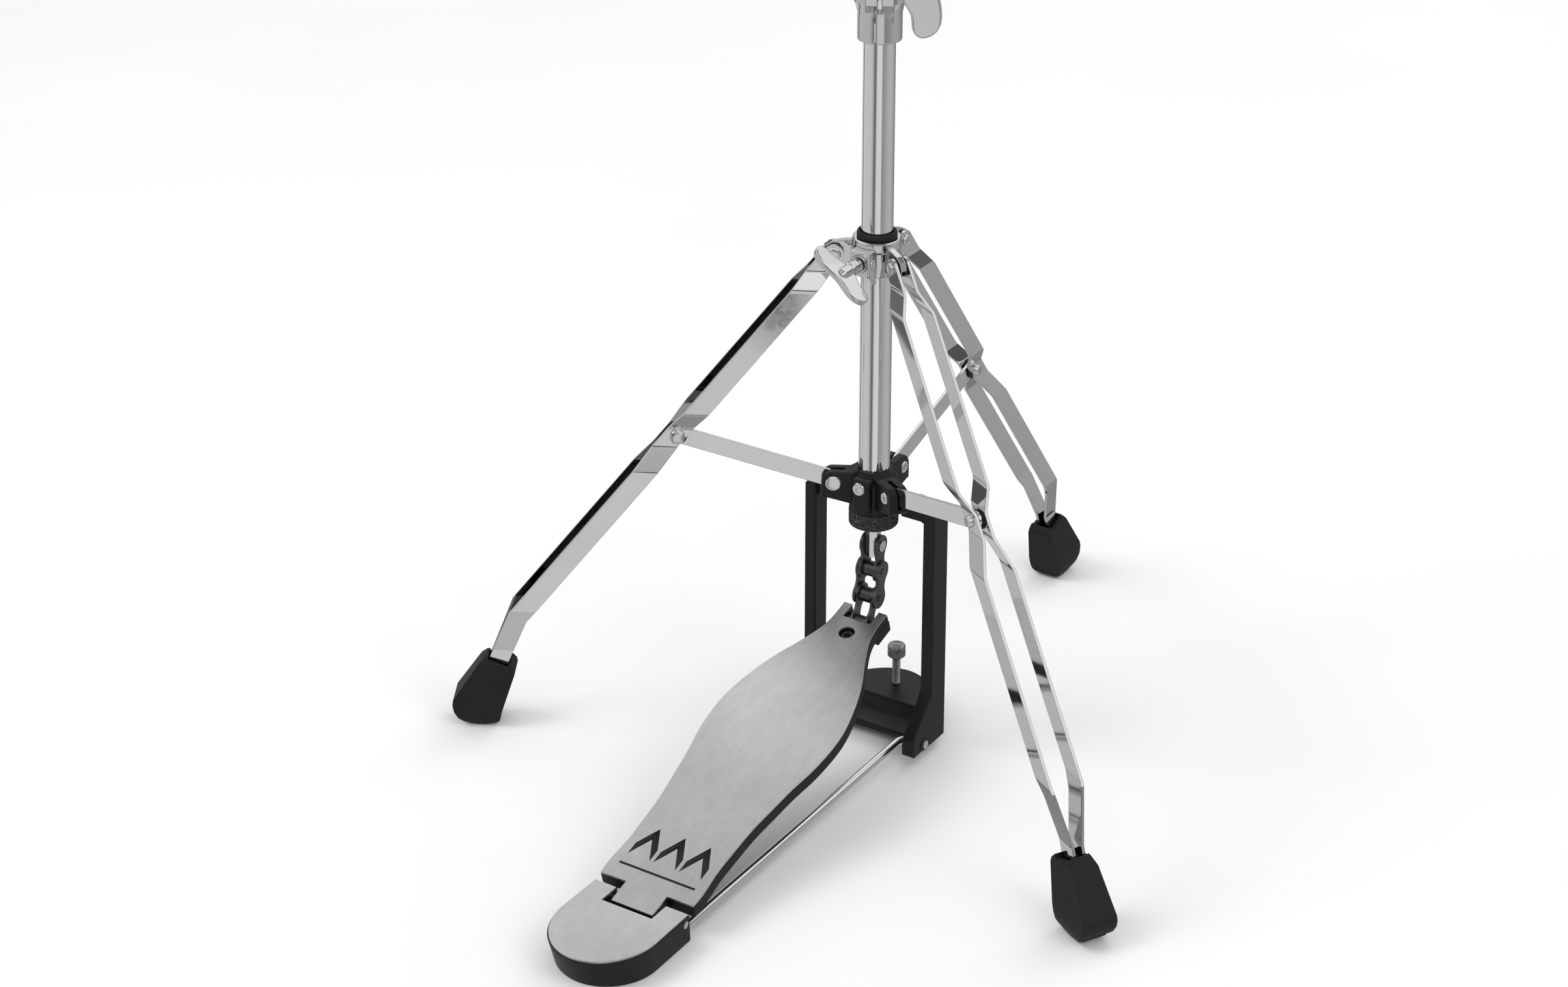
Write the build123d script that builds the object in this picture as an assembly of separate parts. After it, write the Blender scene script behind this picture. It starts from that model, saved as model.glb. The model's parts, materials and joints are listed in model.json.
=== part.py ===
from build123d import *
import math
import os

# Hi-hat stand: folding tripod, chain-driven footboard, pull rod, height tube and clutch.
# Millimetres. +Z up, +Y away from the player's heel, +X to the player's right.
# Origin: on the axis of the tube, at floor level. "Front" is the player's side, -Y.
# Each tripod part is built in the XZ plane along +X, then turned to its leg's azimuth.

os.makedirs("parts", exist_ok=True)

# ---------------------------------------------------------------- driving dimensions
FIT = 0.05                     # radial clearance of a running fit
LOWER_TUBE_R = 11.1            # 22.2 mm tube
LOWER_BORE_R = 9.6
LOWER_TUBE_Z0, LOWER_TUBE_Z1 = 179.0, 556.0
UPPER_TUBE_R = 9.525           # 19.05 mm tube
UPPER_BORE_R = 8.0
UPPER_TUBE_Z0, UPPER_TUBE_Z1 = 400.0, 742.0
ROD_R = 3.0                    # 6 mm pull rod
ROD_Z0, ROD_Z1 = 152.0, 960.0

# tripod: azimuths in degrees, points as (radial distance, z)
LEG_AZIMUTH = {"left": 210.0, "right": 330.0, "rear": 90.0}
COLLAR_PIVOT = (29.5, 366.4)
MID_PIVOT = (137.3, 227.2)
HUB_PIVOT = (28.4, 195.5)
LEG_BEND = (251.0, 87.0)
LEG_END = (272.6, 32.5)
PIVOT_R = 3.0

# pedal: points as (y, z)
FRAME_X = 52.8                 # half width over the posts
ROD_EYE = (-16.0, 12.0)        # radius rod hole in the frame
HEEL_PIN = (-290.3, 15.4)
HEEL_PIN_R = 2.5
PLATE_T = 1.5                  # cover plates of heel and footboard
CHAIN = [(0.0, 146.0), (-1.5, 127.0), (-5.5, 108.4), (-14.5, 91.6)]  # pins, top to bottom
TOP_PIN_R = 2.4
TOE_PIN_R = 2.5

LEFT, RIGHT = (-1, 0, 0), (1, 0, 0)
FRONT, REAR = (0, -1, 0), (0, 1, 0)
UP = (0, 0, 1)
FROM_BASE = (Align.CENTER, Align.CENTER, Align.MIN)

NODES = {}


# ---------------------------------------------------------------- helpers
def put(name, *shapes):
    """Add the solids of the shapes to a named node."""
    for shape in shapes:
        NODES.setdefault(name, []).extend(shape.solids())


def cyl(start, axis, radius, length):
    return Plane(origin=start, z_dir=axis) * Cylinder(radius, length, align=FROM_BASE)


def ring(start, axis, outer_r, inner_r, length):
    # the bore overshoots both ends by 1 mm
    before = Vector(*start) - Vector(*axis).normalized() * 1.0
    return cyl(start, axis, outer_r, length) - cyl(tuple(before), axis, inner_r, length + 2.0)


def box(x0, x1, y0, y1, z0, z1):
    centre = Pos((x0 + x1) / 2, (y0 + y1) / 2, (z0 + z1) / 2)
    return centre * Box(abs(x1 - x0), abs(y1 - y0), abs(z1 - z0))


def poly(points):
    return Polygon(*points, align=None)


def outline(*curves):
    """Face bounded by curves given in order round its edge."""
    return make_face(ShapeList(edge for curve in curves for edge in curve.edges()))


def prism(plane, sketch, start, end):
    return plane * (Pos(0, 0, start) * extrude(sketch, end - start, dir=(0, 0, 1)))


def prism_xz(sketch, y0, y1):
    """Sketch x, y become world X, Z; the solid spans y0..y1."""
    return prism(Plane.XZ, sketch, -y1, -y0)


def prism_yz(sketch, x0, x1):
    """Sketch x, y become world Y, Z; the solid spans x0..x1."""
    return prism(Plane.YZ, sketch, x0, x1)


def turned_z(points, axis_point=(0, 0)):
    """Revolve (radius, z) points about a vertical axis."""
    return Pos(axis_point[0], axis_point[1], 0) * revolve(Plane.XZ * poly(points), Axis.Z)


def turned(start, axis, points):
    """Revolve (radius, distance along the axis) points about an axis from start."""
    return Plane(origin=start, z_dir=axis) * turned_z(points)


def hex_socket(start, axis, corner_r, depth):
    return Plane(origin=start, z_dir=axis) * extrude(RegularPolygon(corner_r, 6), depth)


def soften(shape, edge_test, radius):
    """Fillet the edges that pass the test together."""
    edges = shape.edges().filter_by(edge_test)
    for factor in (1.0, 0.6, 0.35):
        # guards a fillet the kernel refuses: smaller radii follow, then the sharp shape
        try:
            rounded = fillet(edges, radius * factor)
            if rounded.is_valid and rounded.volume > 0.5 * shape.volume:
                return rounded
        except Exception:
            pass
    return shape


def spin(azimuth, shape):
    return Rot(0, 0, azimuth) * shape


def both_sides(shape):
    """The shape and its mirror image across the XZ plane."""
    return mirror(shape, Plane.XZ), shape


def direction(start, end):
    length = math.dist(start, end)
    return ((end[0] - start[0]) / length, (end[1] - start[1]) / length)


def offset_point(point, along, distance):
    return (point[0] + along[0] * distance, point[1] + along[1] * distance)


# ---------------------------------------------------------------- tubes and rod
GUIDE_Z1 = 200.0
NUT_Z0, NUT_Z1 = 290.0, 297.0
NUT_R = 7.6
CONNECTOR_Z0, CONNECTOR_Z1 = 137.5, 168.0
HEX_HALF = 4.6                 # half width across the connector's flats
WIRE_R, COIL_R, TURNS = 0.75, 6.2, 11
SPRING_GAP = 0.2               # at each end of the spring

put("lower_tube", ring((0, 0, LOWER_TUBE_Z0), UP, LOWER_TUBE_R, LOWER_BORE_R,
                       LOWER_TUBE_Z1 - LOWER_TUBE_Z0))
put("upper_tube", ring((0, 0, UPPER_TUBE_Z0), UP, UPPER_TUBE_R, UPPER_BORE_R,
                       UPPER_TUBE_Z1 - UPPER_TUBE_Z0))
put("pull_rod", turned_z([(0, ROD_Z0), (ROD_R, ROD_Z0), (ROD_R, ROD_Z1 - 1), (2.0, ROD_Z1),
                          (0, ROD_Z1)]))


def rod_connector():
    """Hexagon with flats facing +-X, cross-drilled for the top chain pin."""
    corner_r = HEX_HALF / math.cos(math.pi / 6)
    corners = [math.radians(30 + 60 * i) for i in range(6)]
    hexagon = poly([(corner_r * math.cos(a), corner_r * math.sin(a)) for a in corners])
    connector = prism(Plane.XY, hexagon, CONNECTOR_Z0, CONNECTOR_Z1)
    connector -= cyl((0, 0, ROD_Z0), UP, ROD_R, 20)
    connector -= cyl((-10, *CHAIN[0]), RIGHT, TOP_PIN_R, 20)
    return connector


def return_spring():
    """Compression spring on the rod between guide and nut."""
    height = NUT_Z0 - GUIDE_Z1 - 2 * (WIRE_R + SPRING_GAP)
    helix = Helix(pitch=height / TURNS, height=height, radius=COIL_R)
    helix = Pos(0, 0, GUIDE_Z1 + WIRE_R + SPRING_GAP) * helix
    section = Plane(origin=helix @ 0, z_dir=helix % 0) * Circle(WIRE_R)
    return sweep(section, path=helix, is_frenet=True)


put("rod_connector", rod_connector())
put("rod_guide", ring((0, 0, LOWER_TUBE_Z0), UP, LOWER_BORE_R, ROD_R + FIT,
                      GUIDE_Z1 - LOWER_TUBE_Z0))
put("spring_nut", ring((0, 0, NUT_Z0), UP, NUT_R, ROD_R, NUT_Z1 - NUT_Z0))
put("return_spring", return_spring())

# ---------------------------------------------------------------- tripod hub
HUB_R = 17.3
HUB_Z0 = 175.0
HUB_HOLE_R = 6.6               # through the hub floor and the foam
HUB_LUG_HALF = 7.6             # half thickness
FOAM_Z0 = 163.6
SET_BOLT_Z = 196.6
SET_BOLT_R = 2.5
SIDE_BOLT_X, SIDE_BOLT_Z = 30, 180.2
SIDE_BOLT_R = 3.0
WING_Y0, WING_Y1 = 6.2, 13.0   # rear wings of the hub
# radius, z
HUB_PROFILE = [
    (0, HUB_Z0), (HUB_R - 0.6, HUB_Z0), (HUB_R, HUB_Z0 + 0.6), (HUB_R, 194.5), (16.9, 197.2),
    (15.9, 199.8), (14.4, 202.0), (13.3, 203.6), (12.6, 205.6), (0, 205.6)]
# x, z
WING_OUTLINE = [(12, 176.5), (36, 176.5), (37.3, 178), (37.3, 183.6), (36, 185), (12, 185)]


def hub_lug():
    lug = prism_xz(outline(
        Polyline((11, 178.0), (17, 180.3), (33, 184.4), (35.4, 184.6), (36.8, 186.2),
                 (36.8, 195.6)),
        ThreePointArc((36.8, 195.6), (34.5, 201.1), (29.0, 203.4)),
        Polyline((29.0, 203.4), (16.4, 203.4), (13.8, 204.8), (11.0, 206.6), (11, 178.0)),
    ), -HUB_LUG_HALF, HUB_LUG_HALF)

    def on_cheek(edge):
        centre = edge.center()
        return abs(abs(centre.Y) - HUB_LUG_HALF) < 0.01 and centre.X > 12

    lug = soften(lug, lambda edge: on_cheek(edge) and edge.center().Z > 195, 2.2)
    return soften(lug, lambda edge: on_cheek(edge) and edge.center().Z < 195, 1.0)


def tripod_hub():
    hub = turned_z(HUB_PROFILE)
    lug = hub_lug()
    for azimuth in LEG_AZIMUTH.values():
        hub += spin(azimuth, lug)
    # squared pad at the front for the set bolt
    pad = prism(Plane.XY, RectangleRounded(13.6, 26.0, 2.0), 178, 203.0)
    pad = pad.moved(Location((0.9, -7.0, 0)))
    hub += soften(pad, lambda edge: edge.center().Z > 202 or edge.center().Z < 179, 1.2)
    # rear wings that carry the pedal frame
    for side in (-1, 1):
        wing = prism_xz(poly(WING_OUTLINE), WING_Y0, WING_Y1)
        wing = soften(wing, lambda edge: abs(edge.center().Y - WING_Y1) < 0.01, 1.0)
        hub += wing if side > 0 else mirror(wing, Plane.YZ)
    hub -= cyl((0, 0, LOWER_TUBE_Z0), UP, LOWER_TUBE_R, 60)
    hub -= cyl((0, 0, 170), UP, HUB_HOLE_R, 20)
    # brace slot and pivot hole of each lug
    slot = box(20.5, 60, -1.6, 1.6, 188.2, 230)
    for azimuth in LEG_AZIMUTH.values():
        hub -= spin(azimuth, slot)
        hub -= spin(azimuth, cyl((HUB_PIVOT[0], -20, HUB_PIVOT[1]), REAR, PIVOT_R, 40))
    hub -= cyl((0, -40, SET_BOLT_Z), REAR, SET_BOLT_R + FIT, 40)
    for side in (-1, 1):
        hub -= cyl((side * SIDE_BOLT_X, 0, SIDE_BOLT_Z), REAR, SIDE_BOLT_R, 20)
    return hub


def hub_set_bolt():
    """Flanged bolt at the front of the hub, with a hexagon socket."""
    bolt = turned((0, -11.4, SET_BOLT_Z), FRONT, [
        (0, 0), (SET_BOLT_R, 0), (SET_BOLT_R, 8.6), (4.75, 8.6), (4.75, 9.6), (4.2, 10.6),
        (3.4, 11.0), (0, 11.0)])
    return bolt - hex_socket((0, -30, SET_BOLT_Z), REAR, 2.1, 10.4)


def hub_side_bolt(x):
    bolt = cyl((x, 0.2, SIDE_BOLT_Z), REAR, SIDE_BOLT_R, 12.8)
    bolt += cyl((x, WING_Y1, SIDE_BOLT_Z), REAR, 5.0, 4.0)
    return bolt - hex_socket((x, 20, SIDE_BOLT_Z), FRONT, 2.3, 5.6)


put("tripod_hub", tripod_hub())
put("foam_bumper", ring((0, 0, FOAM_Z0), UP, HUB_R, HUB_HOLE_R, HUB_Z0 - FOAM_Z0))
put("hub_set_bolt", hub_set_bolt())
for side in (-1, 1):
    put("hub_side_bolts", hub_side_bolt(side * SIDE_BOLT_X))


# ---------------------------------------------------------------- rivets and braces
BRACE_W, BRACE_T = 12.5, 2.2
BRACE_EYE_R = 3.6              # hole at the leg end
OPEN_HEAD_R = 4.3              # right and rear legs; the left leg's heads are solid


def rivet(pivot, half, head_r, head_t, solid_head):
    """Rivet along Y through a pivot: shank to +-half, heads beyond, solid or hollowed."""
    x, z = pivot
    body = cyl((x, -half, z), REAR, PIVOT_R, 2 * half)
    if solid_head:
        profile = [(0, 0), (head_r, 0), (head_r, head_t * 0.35), (head_r * 0.86, head_t * 0.75),
                   (head_r * 0.55, head_t), (0, head_t)]
    else:
        profile = [(0, 0), (head_r, 0), (head_r, head_t * 0.4), (head_r * 0.85, head_t),
                   (head_r * 0.62, head_t), (head_r * 0.55, head_t * 0.4), (0, head_t * 0.4)]
    for side in (-1, 1):
        body += turned((x, side * half, z), (0, side, 0), profile)
        if not solid_head:
            body -= cyl((x, side * (half + head_t), z), (0, -side, 0), 2.0, head_t + 1.2)
    return body


def brace():
    length = math.dist(HUB_PIVOT, MID_PIVOT)
    along = direction(HUB_PIVOT, MID_PIVOT)
    sketch = Pos(length / 2, 0) * SlotCenterToCenter(length, BRACE_W)
    sketch -= Circle(PIVOT_R + FIT)
    sketch -= Pos(length, 0) * Circle(BRACE_EYE_R)
    plane = Plane(origin=(HUB_PIVOT[0], BRACE_T / 2, HUB_PIVOT[1]),
                  x_dir=(along[0], 0, along[1]), z_dir=FRONT)
    return plane * extrude(sketch, BRACE_T)


for name, azimuth in LEG_AZIMUTH.items():
    solid_head = name == "left"
    head_r = 5.4 if solid_head else OPEN_HEAD_R
    put("hub_rivets", spin(azimuth, rivet(HUB_PIVOT, HUB_LUG_HALF, head_r, 1.0, solid_head)))
    put("brace_" + name, spin(azimuth, brace()))

# ---------------------------------------------------------------- sliding leg collar
COLLAR_R, COLLAR_BORE_R = 17.0, 12.1
COLLAR_Z0, COLLAR_Z1 = 353.6, 379.0
COLLAR_LUG_HALF = 2.3
COLLAR_SCREW_Z = 366.0
COLLAR_SCREW_R = 3.0
BOSS_SIDE_X = 7.8              # right-hand face of the front boss
# radius, z
COLLAR_PROFILE = [
    (0, COLLAR_Z0), (15.6, COLLAR_Z0), (15.9, 371.0), (COLLAR_R, 372.6), (COLLAR_R, 378.2),
    (16.2, COLLAR_Z1), (0, COLLAR_Z1)]
COLLAR_RING_PROFILE = [
    (11.6, COLLAR_Z1), (13.6, COLLAR_Z1), (14.0, 379.8), (14.0, 381.4), (13.6, 382.7),
    (12.8, 383.4), (12.0, 383.3), (11.4, 382.4), (11.4, 380.0)]
# radial distance, z
COLLAR_LUG_OUTLINE = [
    (12, 357.6), (27, 356.8), (31, 358.5), (36.6, 362.5), (37.5, 366.4), (36.2, 371.5),
    (31, 374.5), (20, 376.4), (12, 376.6)]
# y, z
GUSSET_OUTLINE = [(-23.4, 357.5), (-14.0, 357.5), (-14.0, 350.5), (-15.4, 349.6)]
# two-lobed wing of a hand screw at scale 1: along the wing, outwards from the screw
WING_BLADE = [
    (-25, 5.5), (-21, 11.5), (-12, 13.2), (0, 11.5), (12, 13.2), (21, 11.5), (25, 5.5),
    (22.5, 0.5), (14, -1.0), (6.5, -4.5), (-6.5, -4.5), (-14, -1.0), (-22.5, 0.5)]


def leg_collar():
    collar = turned_z(COLLAR_PROFILE)
    lug = prism_xz(poly(COLLAR_LUG_OUTLINE), -COLLAR_LUG_HALF, COLLAR_LUG_HALF)
    lug = soften(lug, lambda edge: abs(abs(edge.center().Y) - COLLAR_LUG_HALF) < 0.01, 0.5)
    for azimuth in LEG_AZIMUTH.values():
        collar += spin(azimuth, lug)
    # square boss on the front that carries the wing screw, with a gusset below it
    boss = prism(Plane.XY, RectangleRounded(2 * BOSS_SIDE_X, 14.0, 1.6), 356.5, 374.5)
    boss = boss.moved(Location((0, -16.4, 0)))
    collar += soften(boss, lambda edge: edge.center().Z > 374 or edge.center().Z < 357, 0.9)
    collar += prism_yz(poly(GUSSET_OUTLINE), 5.0, BOSS_SIDE_X)
    collar += cyl((0, -22.0, COLLAR_SCREW_Z), FRONT, 6.3, 3.4)
    collar -= cyl((0, 0, 340), UP, COLLAR_BORE_R, 60)
    collar -= cyl((0, -40, COLLAR_SCREW_Z), REAR, COLLAR_SCREW_R + FIT, 40)
    for azimuth in LEG_AZIMUTH.values():
        hole = cyl((COLLAR_PIVOT[0], -10, COLLAR_PIVOT[1]), REAR, PIVOT_R, 20)
        collar -= spin(azimuth, hole)
    return collar


def collar_sleeve():
    """Sleeve between collar and tube."""
    start = COLLAR_Z0 + 0.4
    sleeve = ring((0, 0, start), UP, COLLAR_BORE_R, LOWER_TUBE_R + FIT, COLLAR_Z1 - start)
    return sleeve - cyl((0, -40, COLLAR_SCREW_Z), REAR, 3.3, 40)


def wing_blade(centre, along, scale, thickness):
    """Two-lobed wing pointing to the front, its length lying along the given direction."""
    curve = Spline(*[(x * scale, y * scale) for x, y in WING_BLADE], periodic=True)
    blade = extrude(make_face(curve), thickness / 2, both=True)
    blade = soften(blade, lambda edge: edge.length > 20, thickness * 0.3)
    return Plane(origin=centre, x_dir=along, z_dir=Vector(*along).cross(Vector(*FRONT))) * blade


def collar_wing_screw():
    """Shank, shouldered neck and a tilted wing."""
    screw = wing_blade((0, -42.0, COLLAR_SCREW_Z), (38.9, 0, -31.4), 1.0, 5.0)
    return screw + turned((0, -11.35, COLLAR_SCREW_Z), FRONT, [
        (0, 0), (COLLAR_SCREW_R, 0), (COLLAR_SCREW_R, 15.0), (5.0, 15.0), (5.0, 22.0),
        (5.6, 22.6), (5.6, 25.6), (4.8, 26.4), (4.8, 36.0), (3.2, 39.0), (0, 39.6)])


put("leg_collar", leg_collar())
# eyelet on the right-hand face of the boss
put("collar_rivets", ring((BOSS_SIDE_X, -18.6, 365.6), RIGHT, 3.4, 1.7, 0.9))
for name, azimuth in LEG_AZIMUTH.items():
    solid_head = name == "left"
    head_r = 5.2 if solid_head else OPEN_HEAD_R
    put("collar_rivets", spin(azimuth, rivet(COLLAR_PIVOT, 6.05, head_r, 1.4, solid_head)))
put("collar_sleeve", collar_sleeve())
put("collar_ring", turned_z(COLLAR_RING_PROFILE))
put("collar_wing_screw", collar_wing_screw())

# ---------------------------------------------------------------- legs
STRIP_W, STRIP_T = 14.0, 2.2
STUD_Y = 4.9                   # seat of the brace stud's head
WASHER_INNER_Y = 1.35          # inner face of the washer at the brace pivot
# face of one strip nearer the leg's mid plane: offset from that plane, z
STRIP_INNER = [
    (3.7, 385.0), (3.7, 354.5), (10.4, 341.5), (10.4, 247.0), (2.7, 234.0), (2.7, 220.5),
    (10.4, 202.0), (10.4, 93.0), (2.5, 57.0), (2.5, 20.0)]
# pivot, inner y, outer y, outer radius, bore radius
WASHERS = [
    (COLLAR_PIVOT, 2.42, 3.66, 6.6, PIVOT_R + FIT),
    (MID_PIVOT, WASHER_INNER_Y, 2.7, 6.8, PIVOT_R)]

# directions in the leg's plane, along and across its two straight runs
UPPER_DIR = direction(COLLAR_PIVOT, LEG_BEND)
LOWER_DIR = direction(LEG_BEND, LEG_END)
UPPER_NORMAL = (-UPPER_DIR[1], UPPER_DIR[0])
LOWER_NORMAL = (-LOWER_DIR[1], LOWER_DIR[0])
# from the bend to its mitred corner, per unit of half width
NORMAL_SUM = (UPPER_NORMAL[0] + LOWER_NORMAL[0], UPPER_NORMAL[1] + LOWER_NORMAL[1])
MITRE_SCALE = NORMAL_SUM[0] * UPPER_NORMAL[0] + NORMAL_SUM[1] * UPPER_NORMAL[1]
MITRE = (NORMAL_SUM[0] / MITRE_SCALE, NORMAL_SUM[1] / MITRE_SCALE)


def strip_outline(half, end=LEG_END):
    """Side view of the bent strip, from the collar pivot to its end."""
    stations = [(COLLAR_PIVOT, UPPER_NORMAL), (LEG_BEND, MITRE), (end, LOWER_NORMAL)]
    upper = [offset_point(point, across, half) for point, across in stations]
    lower = [offset_point(point, across, -half) for point, across in reversed(stations)]
    return poly(upper + lower)


def leg_strip():
    """Strip on the +Y side of the leg's plane: side view crossed with the joggled section."""
    side_view = prism_xz(strip_outline(STRIP_W / 2), -25, 25)
    side_view += cyl((COLLAR_PIVOT[0], -25, COLLAR_PIVOT[1]), REAR, STRIP_W / 2, 50)
    strip_outer = [(y + STRIP_T, z) for y, z in STRIP_INNER]
    section = outline(
        FilletPolyline(*STRIP_INNER, radius=6.0), FilletPolyline(*strip_outer, radius=6.0),
        Line(STRIP_INNER[0], strip_outer[0]), Line(STRIP_INNER[-1], strip_outer[-1]))
    strip = side_view & prism_yz(section, 0, 330)
    strip = strip - cyl((COLLAR_PIVOT[0], -20, COLLAR_PIVOT[1]), REAR, PIVOT_R + FIT, 40)
    return strip - cyl((MID_PIVOT[0], -20, MID_PIVOT[1]), REAR, PIVOT_R, 40)


# rubber foot
SOLE_X, SOLE_Z = 279.0, 33.0   # centre of the sole's curve, radial distance and height
SOLE_R = 32.4
TREAD_PITCH = 5.2
TREAD_HALF = 8.9               # half length of a tread rib
# half width, z
FOOT_FRONT = [
    (5.0, 60.0), (6.4, 52.8), (9.3, 47.0), (13.1, 16.0), (13.2, 10.5), (12.2, 5.6),
    (10.2, 2.0), (9.6, 0.4), (9.6, -5.0)]
# radial distance, z: round the boot from one end of the sole to the other
FOOT_SIDE = [
    (265.0, 6.4), (264.2, 10.5), (254.2, 41.0), (254.8, 44.2), (257.6, 47.6), (271.8, 52.6),
    (275.4, 52.4), (279.6, 48.6), (298.7, 20.2), (299.1, 16.2), (298.0, 11.4), (295.4, 6.6)]


def sole_point(distance, radius=SOLE_R):
    """Point at a distance along the sole's curve from its lowest point."""
    angle = distance / SOLE_R
    return (SOLE_X + radius * math.sin(angle), SOLE_Z - radius * math.cos(angle))


def along_strip(start, end, half):
    """Rectangle about the lower run, from start to end measured up from the leg's end."""
    corners = ((start, half), (end, half), (end, -half), (start, -half))
    return poly([offset_point(offset_point(LEG_END, LOWER_DIR, -distance), LOWER_NORMAL, across)
                 for distance, across in corners])


def leg_foot():
    """Tapered boot leaning outwards, socketed over both strip ends."""
    foot = prism_xz(outline(
        Polyline(sole_point(-13), *FOOT_SIDE, sole_point(13)),
        ThreePointArc(sole_point(-13), sole_point(0), sole_point(13))), -30, 30)
    other_half = [(-y, z) for y, z in reversed(FOOT_FRONT)]
    foot &= prism_yz(poly(FOOT_FRONT + other_half), 200, 340)
    foot = soften(foot, lambda edge: edge.length > 26 and edge.center().Z > 8, 2.0)
    foot = soften(foot, lambda edge: (edge.length > 6 and edge.center().Z > 44
                                      and abs(edge.center().Y) < 8), 0.8)
    # transverse tread ribs, the middle pair flat on the floor
    for i in (-2.5, -1.5, 1.5, 2.5):
        x, z = sole_point(i * TREAD_PITCH, SOLE_R - 0.1)
        foot += cyl((x, -TREAD_HALF, z), REAR, 0.75, 2 * TREAD_HALF)
    for i in (-0.5, 0.5):
        x = SOLE_X + i * TREAD_PITCH
        foot += box(x - 0.8, x + 0.8, -TREAD_HALF, TREAD_HALF, 0.0, 2.0)
    # socket for the strips, then the opening above it
    socket_end = offset_point(LEG_END, LOWER_DIR, 0.3)
    socket = prism_xz(strip_outline(STRIP_W / 2 + 0.15, socket_end), -5.0, 5.0)
    foot -= socket & box(240, 320, -6, 6, 20, 61)
    foot -= prism_xz(along_strip(15.0, 60.0, 8.3), -6.3, 6.3)
    foot -= prism_xz(along_strip(16.6, 60.0, 7.7), -30.0, 30.0)
    return foot


def brace_stud(solid_head):
    """Rivet stud of the brace pivot, on the +Y strip."""
    x, z = MID_PIVOT
    head_r = 5.4 if solid_head else OPEN_HEAD_R
    stud = cyl((x, 0, z), REAR, PIVOT_R, STUD_Y)
    stud -= cyl((x, -1, z), REAR, PIVOT_R + 1, 1 + WASHER_INNER_Y)
    stud += turned((x, STUD_Y, z), REAR, [
        (0, 0), (head_r, 0), (head_r, 0.9), (head_r * 0.82, 2.1), (head_r * 0.5, 2.6), (0, 2.6)])
    if not solid_head:
        stud -= cyl((x, 8.0, z), FRONT, 2.1, 2.4)
    return stud


strip = leg_strip()
foot = leg_foot()
for name, azimuth in LEG_AZIMUTH.items():
    put("leg_" + name, spin(azimuth, strip), spin(azimuth, mirror(strip, Plane.XZ)))
    put("leg_%s_foot" % name, spin(azimuth, foot))
    for stud in both_sides(brace_stud(name == "left")):
        put("leg_%s_rivet" % name, spin(azimuth, stud))
    for (x, z), y0, y1, outer_r, bore_r in WASHERS:
        for washer in both_sides(ring((x, y0, z), REAR, outer_r, bore_r, y1 - y0)):
            put("leg_%s_washers" % name, spin(azimuth, washer))

# ---------------------------------------------------------------- pedal frame
FRAME_Z0, FRAME_Z1 = 7.0, 185.5
BASE_TOP = 20.0
BASE_X = FRAME_X - 4           # half width of the base
POST_FRONT_W, POST_REAR_W = 9.4, 6.8
POST_Y0, POST_Y1 = -6.8, 13.2
POST_FRONT_X = FRAME_X - POST_FRONT_W    # inner face at the front
POST_REAR_X = FRAME_X - POST_REAR_W
FLARE_X = POST_FRONT_X - 2.0
BUSH_R = 4.6                   # radius rod bush
SPUR_Y = 35.0
SPUR_R = 3.0
# x, z
POST_ENVELOPE = [
    (FRAME_X, FRAME_Z0), (FRAME_X, FRAME_Z1 - 4), (FRAME_X - 3.5, FRAME_Z1),
    (FRAME_X - 20, FRAME_Z1), (FRAME_X - 20, FRAME_Z0)]
FLARE_OUTLINE = [
    (FRAME_X - 3, FRAME_Z0), (FRAME_X - 3, 34), (POST_REAR_X - 0.2, 27), (FLARE_X, 19.5),
    (FLARE_X, FRAME_Z0)]
ARM_OUTLINE = [
    (24.6, 175.4), (POST_FRONT_X - 2.4, 175.4), (POST_FRONT_X - 0.7, 174.7),
    (POST_FRONT_X, 173.0), (FRAME_X - 3, 170.0), (FRAME_X - 2, 180.0),
    (FRAME_X - 5, FRAME_Z1), (24.6, FRAME_Z1 - 1)]
# y, z
EAR_OUTLINE = [
    (POST_Y0 + 3, FRAME_Z0), (-29.0, FRAME_Z0), (-30.5, 8.5), (-30.5, 20.5), (-28.8, 23.0),
    (POST_Y0 - 0.5, 45.0), (POST_Y0 + 3, 50.0)]
# x, y
BASE_PAD_OUTLINE = [
    (-38, -1), (38, -1), (38, 13), (29, 28), (16, 40), (0, 46), (-16, 40), (-29, 28), (-38, 13)]
# radius, z
SPUR_PROFILE = [
    (0, 1.0), (0.6, 1.3), (SPUR_R, 7.5), (SPUR_R, 40.8), (4.0, 41.2), (6.0, 41.4), (6.5, 42.2),
    (6.5, 48.6), (5.6, 50.2), (4.6, 50.8), (0, 50.8)]


def frame_base():
    """Base rounded towards the rear: plan crossed with side view."""
    plan = outline(
        Line((-BASE_X, -14), (BASE_X, -14)),
        Line((BASE_X, -14), (BASE_X, 12)),
        Spline((BASE_X, 12), (36, 30), (20, 46.5), (0, 54.5), (-20, 46.5), (-36, 30),
               (-BASE_X, 12), tangents=((-0.15, 1), (-0.15, -1))),
        Line((-BASE_X, 12), (-BASE_X, -14)))
    side_view = outline(
        Polyline((-11.5, FRAME_Z0), (60, FRAME_Z0), (60, BASE_TOP), (13.0, BASE_TOP),
                 (12.2, 18.6)),
        ThreePointArc((12.2, 18.6), (6.5, 12.9), (-1.5, 11.2)),
        Polyline((-1.5, 11.2), (-9.8, 11.0), (-11.5, 9.8), (-11.5, FRAME_Z0)))
    base = prism(Plane.XY, plan, 0, 40) & prism_yz(side_view, -60, 60)
    # shallow arch under the front edge
    base -= cyl((0, -30, -420.0), REAR, 428.3, 22)
    return soften(base, lambda edge: (abs(edge.center().Z - BASE_TOP) < 0.3
                                      and edge.length > 8), 0.9)


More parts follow.
